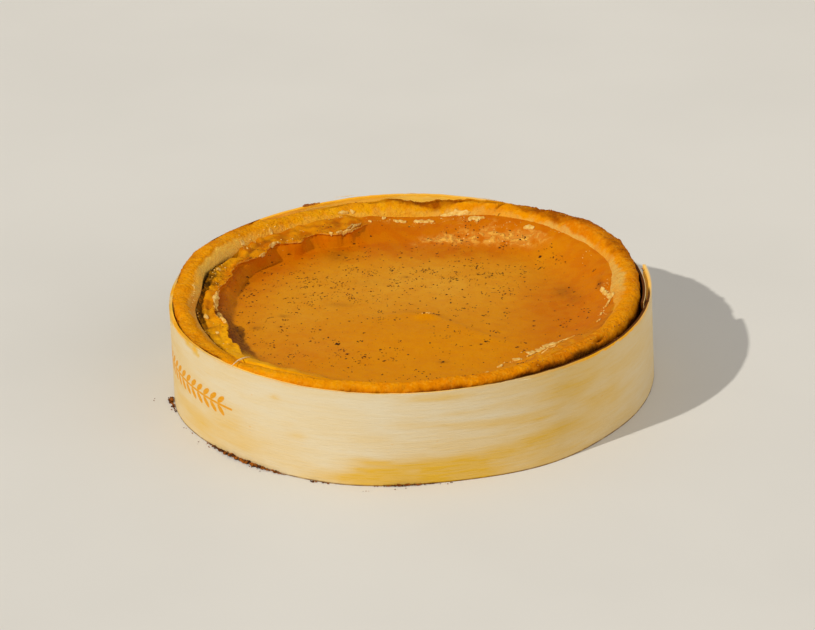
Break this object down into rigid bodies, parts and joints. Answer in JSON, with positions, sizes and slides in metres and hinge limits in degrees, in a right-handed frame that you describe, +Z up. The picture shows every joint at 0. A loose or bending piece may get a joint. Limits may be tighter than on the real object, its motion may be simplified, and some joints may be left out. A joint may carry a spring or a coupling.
{
  "type": "custard flan",
  "caption": "Whole round baked custard flan with a sunken, vanilla-flecked top in a rolled pastry shell, standing in a thin wood veneer band; free-standing food item.",
  "frame": {"origin": "on the resting surface, under the middle of the flan's outline", "axes": "+Z up, -Y towards the front as pictured, +X to the right"},
  "size_m": [0.2323, 0.2359, 0.0509],
  "materials": {
    "veneer": "bare peeled poplar veneer, satin, with baked-on syrup stains",
    "pastry": "baked shortcrust pastry, matt and grainy, golden to brown",
    "custard": "baked custard skin, soft sheen, with vanilla specks and pale flakes",
    "burnt_custard": "burnt-on custard crumbs, dark brown and rough"
  },
  "bodies": {
    "root": {"veneer_band": "veneer", "pastry_shell": "pastry", "custard": "custard", "burnt_seep_left": "burnt_custard", "burnt_seep_front": "burnt_custard"}
  },
  "joints": []
}
